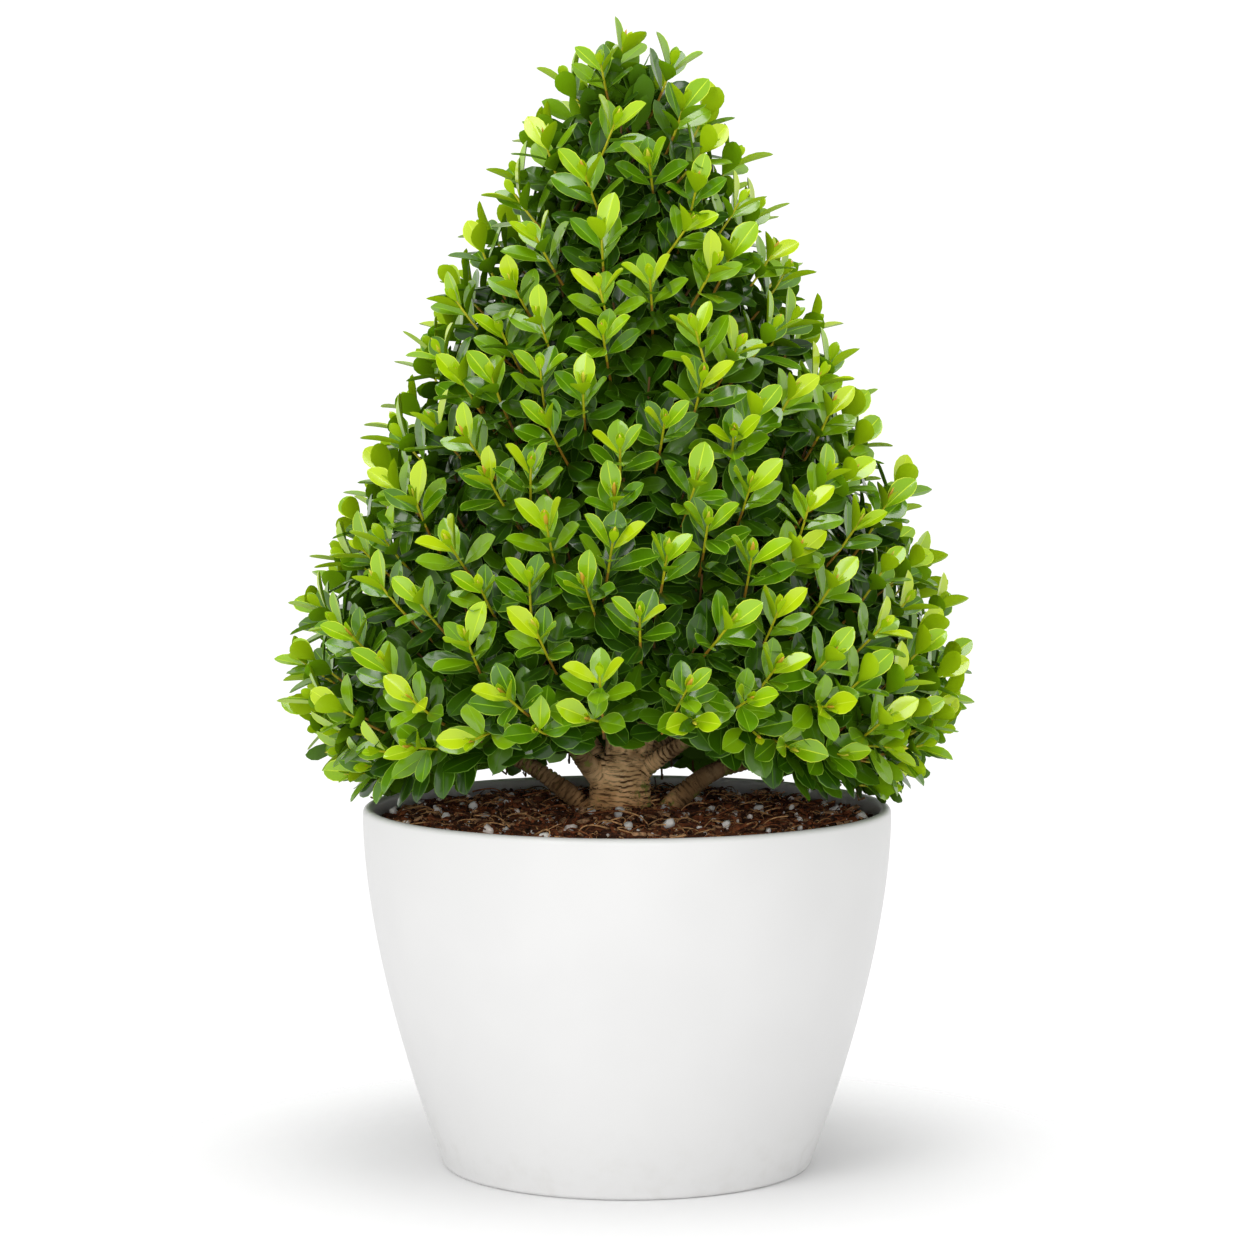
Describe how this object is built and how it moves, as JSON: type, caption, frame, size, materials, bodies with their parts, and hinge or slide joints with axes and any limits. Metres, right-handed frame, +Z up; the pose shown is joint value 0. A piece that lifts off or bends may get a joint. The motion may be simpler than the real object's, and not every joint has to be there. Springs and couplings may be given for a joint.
{
  "type": "potted boxwood cone topiary",
  "caption": "Clipped boxwood cone on a short forked trunk, growing in a plain white round planter filled with potting soil.",
  "frame": {"origin": "centre of the planter's flat underside, where it stands", "axes": "+Z up along the planter's axis to the tip of the cone; -Y is the front, where the skirt of leaves is lifted over the trunk; +X is to the right seen from the front"},
  "size_m": [0.3752, 0.3753, 0.628],
  "materials": {
    "planter": "satin",
    "soil": "matte",
    "bark": "matte",
    "foliage": "satin"
  },
  "bodies": {
    "root": {"pot": "planter", "soil": "soil", "trunk": "bark", "leader_bough": "bark", "upright_bough": "bark", "front_left_bough": "bark", "front_right_bough": "bark", "back_left_bough": "bark", "back_right_bough": "bark", "low_left_bough": "bark", "low_right_bough": "bark", "low_back_bough": "bark", "clipped_crown": "foliage"}
  },
  "joints": []
}
